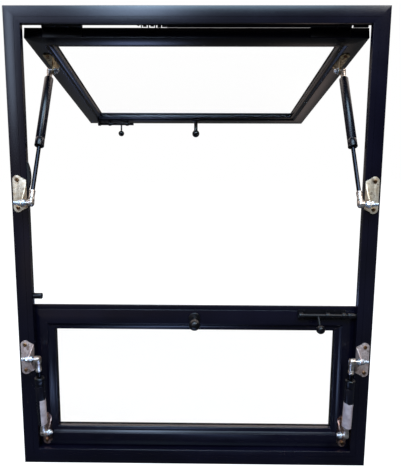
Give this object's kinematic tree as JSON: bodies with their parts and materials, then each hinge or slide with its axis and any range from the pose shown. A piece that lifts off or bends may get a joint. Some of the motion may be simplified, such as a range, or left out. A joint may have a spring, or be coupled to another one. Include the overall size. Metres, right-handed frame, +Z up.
{
  "type": "concession window",
  "caption": "Serving window in a metal frame: an upper sash propped open outward on gas struts over a shut lower sash, with hinges, barrel bolts and pull knobs.",
  "frame": {"origin": "middle of the sill's underside, halfway through the frame's depth", "axes": "+X to the right and +Y out of the building, both as seen from inside, +Z up"},
  "size_m": [0.9, 0.767, 1.15],
  "materials": {
    "buffer_rubber": "matt dark grey",
    "clear_glass": "clear and polished",
    "frame_black": "satin black powder coat",
    "hardware_black": "satin black coating",
    "seal_rubber": "matt black",
    "strut_rod_black": "black nitrided, polished",
    "strut_tube_black": "gloss black paint",
    "zinc_bright": "bright zinc plating",
    "zinc_cream": "cream zinc plating",
    "zinc_yellow": "yellow zinc plating"
  },
  "bodies": {
    "root": {"bolt_keepers": "hardware_black", "frame_head": "frame_black", "frame_left_jamb": "frame_black", "frame_right_jamb": "frame_black", "frame_seal": "seal_rubber", "frame_sill": "frame_black", "lower_ball_studs": "zinc_bright", "lower_bolt": "hardware_black", "lower_bolt_rod": "hardware_black", "lower_frame_brackets": "zinc_cream", "lower_hinge_frame_leaves": "hardware_black", "lower_hinge_pins": "hardware_black", "lower_hinge_sash_leaves": "hardware_black", "lower_meeting_strip": "frame_black", "lower_sash_brackets": "zinc_yellow", "lower_sash_glass": "clear_glass", "lower_sash_glazing_beads": "frame_black", "lower_sash_glazing_seals": "seal_rubber", "lower_sash_hinge_rail": "frame_black", "lower_sash_left_stile": "frame_black", "lower_sash_meeting_rail": "frame_black", "lower_sash_right_stile": "frame_black", "lower_strut_rods": "strut_rod_black", "lower_strut_sockets": "zinc_bright", "lower_strut_tubes": "strut_tube_black", "pull_knobs": "hardware_black", "sash_buffer": "buffer_rubber", "upper_ball_studs": "zinc_bright", "upper_bolt": "hardware_black", "upper_bolt_rod": "hardware_black", "upper_frame_brackets": "zinc_cream", "upper_hinge_frame_leaves": "hardware_black", "upper_hinge_pins": "hardware_black", "upper_hinge_sash_leaves": "hardware_black", "upper_sash_brackets": "zinc_yellow", "upper_sash_glass": "clear_glass", "upper_sash_glazing_beads": "frame_black", "upper_sash_glazing_seals": "seal_rubber", "upper_sash_hinge_rail": "frame_black", "upper_sash_left_stile": "frame_black", "upper_sash_meeting_rail": "frame_black", "upper_sash_right_stile": "frame_black", "upper_strut_rods": "strut_rod_black", "upper_strut_sockets": "zinc_bright", "upper_strut_tubes": "strut_tube_black"}
  },
  "joints": []
}
